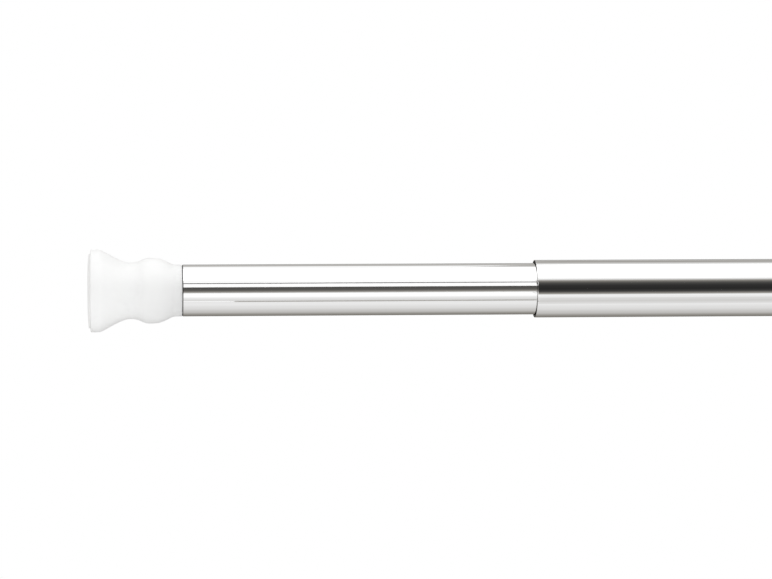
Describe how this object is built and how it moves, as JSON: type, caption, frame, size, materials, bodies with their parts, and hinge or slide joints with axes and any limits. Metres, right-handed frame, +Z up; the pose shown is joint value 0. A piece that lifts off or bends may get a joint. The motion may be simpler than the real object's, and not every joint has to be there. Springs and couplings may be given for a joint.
{
  "type": "spring tension rod",
  "caption": "Telescopic curtain rod of chromed tube with bell-shaped white feet. A twist lock sets its length, and a spring inside presses the feet against facing walls.",
  "frame": {"origin": "middle of the right pad's flat face, where the rod meets the right wall", "axes": "+X along the rod's axis out of its right end and into that wall, the left foot at -X, +Z up"},
  "size_m": [0.5954, 0.0398, 0.0398],
  "materials": {
    "polished_chrome": "polished chrome plate on rolled steel tube",
    "white_foot_plastic": "satin moulded plastic",
    "white_soft_pad": "matt soft pad",
    "black_nylon": "moulded nylon",
    "natural_nylon": "moulded nylon",
    "zinc_steel": "bright zinc plate",
    "spring_steel": "oiled spring steel"
  },
  "bodies": {
    "outer_tube": {"outer_tube": "polished_chrome", "mouth_bush": "black_nylon", "right_foot": "white_foot_plastic", "right_foot_pad": "white_soft_pad", "right_end_plug": "black_nylon"},
    "expander": {"expander_sleeve": "natural_nylon"},
    "wedge_cone": {"wedge_cone": "black_nylon"},
    "lock_rod": {"lock_rod": "zinc_steel", "spring_piston": "natural_nylon", "piston_clip": "spring_steel", "thrust_washer": "zinc_steel", "stop_washer": "zinc_steel", "stop_nut": "zinc_steel"},
    "inner_tube": {"inner_tube": "polished_chrome", "guide_bush": "natural_nylon", "tension_spring": "spring_steel", "spring_seat": "natural_nylon", "left_foot": "white_foot_plastic", "left_foot_pad": "white_soft_pad", "left_end_plug": "black_nylon"}
  },
  "joints": [
    {"name": "length_slide", "type": "slide", "parent": "outer_tube", "child": "expander", "axis": [-1, 0, 0], "range_m": [-0.147, 0.062]},
    {"name": "lock_twist", "type": "hinge", "parent": "expander", "child": "lock_rod", "pos_m": [-0.2565, 0, 0], "axis": [1, 0, 0], "range_deg": [0, 360]},
    {"name": "cone_travel", "type": "slide", "parent": "expander", "child": "wedge_cone", "axis": [1, 0, 0], "range_m": [0, 0.003]},
    {"name": "spring_stroke", "type": "slide", "parent": "lock_rod", "child": "inner_tube", "axis": [1, 0, 0], "range_m": [0, 0.02], "stiffness_N_per_m": 2700, "springref_m": -0.015, "deforming": ["tension_spring"]}
  ],
  "couplings": [
    {"joint": "cone_travel", "follows": "lock_twist", "m_per_rad": 0.00047746}
  ]
}
